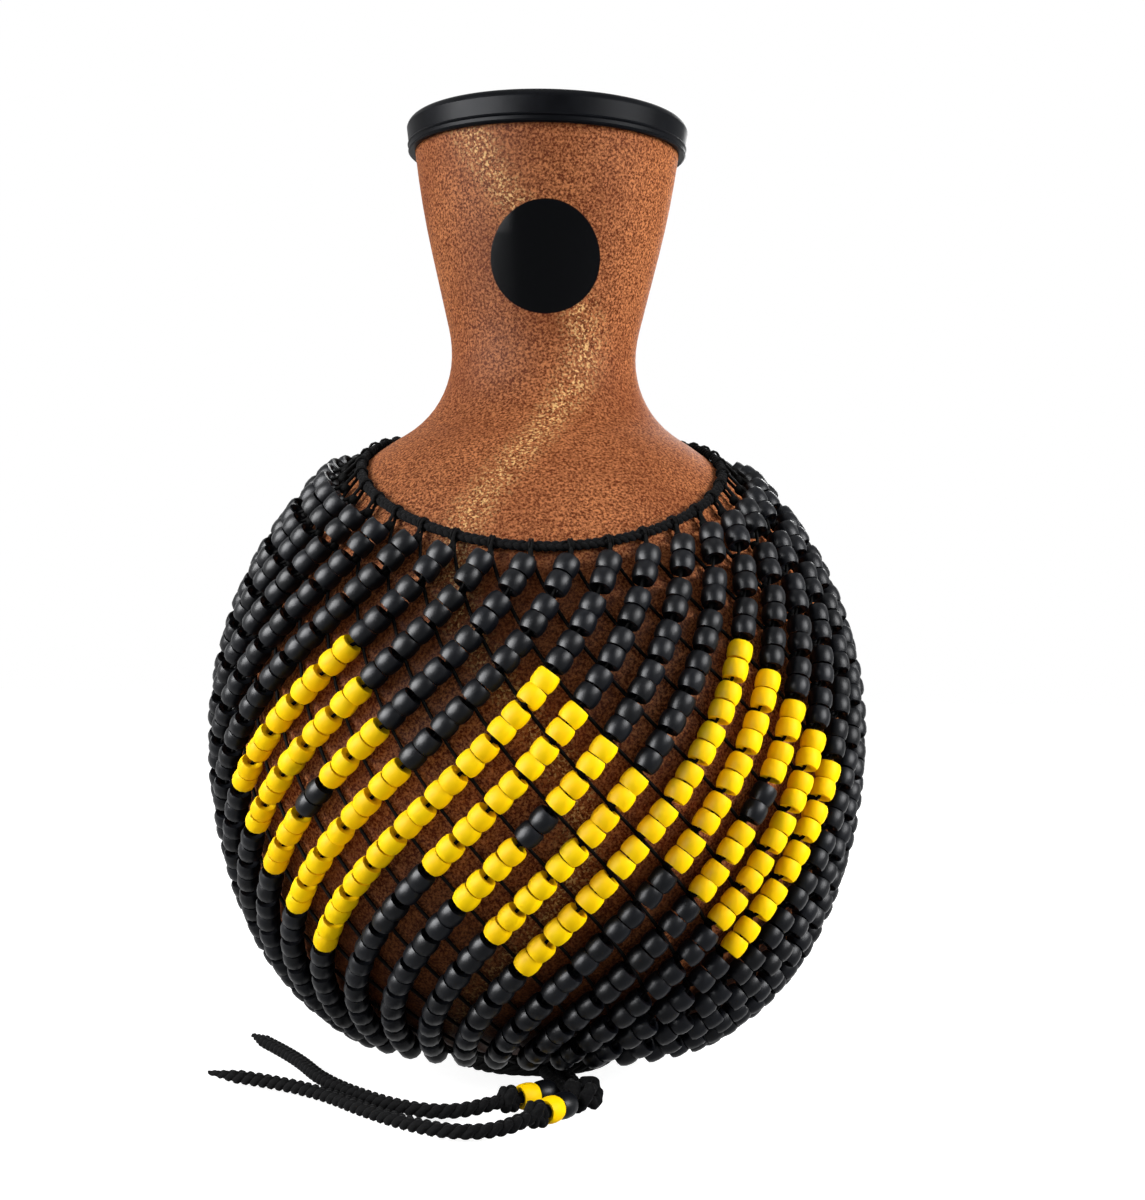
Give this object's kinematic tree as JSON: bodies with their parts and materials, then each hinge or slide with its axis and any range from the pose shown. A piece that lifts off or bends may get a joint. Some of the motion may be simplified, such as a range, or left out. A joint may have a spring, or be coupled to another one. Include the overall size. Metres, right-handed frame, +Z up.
{
  "type": "shekere",
  "caption": "Fibreglass gourd shaker with a loose net of black and yellow beads and a cord-tied hem",
  "frame": {"origin": "on the surface it stands on, under the middle of the gourd", "axes": "+Z up along the gourd's axis to the mouth, -Y to the front where the collar droops, +X right"},
  "size_m": [0.2392, 0.2394, 0.3446],
  "materials": {
    "fibreglass": "sanded brown",
    "rubber": "matte moulded",
    "cord": "braided nylon",
    "twine": "waxed twine",
    "black_bead": "moulded",
    "yellow_bead": "moulded"
  },
  "bodies": {
    "gourd": {"shell": "fibreglass", "mouth_edging": "rubber"},
    "net": {"bead_row_01_black": "black_bead", "bead_row_02_black": "black_bead", "bead_row_03_black": "black_bead", "bead_row_04_black": "black_bead", "bead_row_04_yellow": "yellow_bead", "bead_row_05_black": "black_bead", "bead_row_05_yellow": "yellow_bead", "bead_row_06_black": "black_bead", "bead_row_06_yellow": "yellow_bead", "bead_row_07_black": "black_bead", "bead_row_07_yellow": "yellow_bead", "bead_row_08_black": "black_bead", "bead_row_08_yellow": "yellow_bead", "bead_row_09_black": "black_bead", "bead_row_09_yellow": "yellow_bead", "bead_row_10_black": "black_bead", "bead_row_10_yellow": "yellow_bead", "bead_row_11_black": "black_bead", "bead_row_11_yellow": "yellow_bead", "bead_row_12_black": "black_bead", "bead_row_12_yellow": "yellow_bead", "bead_row_13_black": "black_bead", "bead_row_14_black": "black_bead", "bead_row_15_black": "black_bead", "bead_row_16_black": "black_bead", "beaded_twine": "twine", "collar_cord": "cord", "collar_knot": "cord", "drawstring_knot": "cord", "drawstring_leads": "cord", "hem_roll": "twine", "plain_twine": "twine", "tail_left": "cord", "tail_left_black_bead": "black_bead", "tail_left_stop_knot": "cord", "tail_left_yellow_bead": "yellow_bead", "tail_right": "cord", "tail_right_black_bead": "black_bead", "tail_right_stop_knot": "cord", "tail_right_yellow_bead": "yellow_bead"}
  },
  "joints": [
    {"name": "net_turn", "type": "hinge", "parent": "gourd", "child": "net", "pos_m": [0, 0, 0], "axis": [0, 0, 1], "continuous": true}
  ]
}
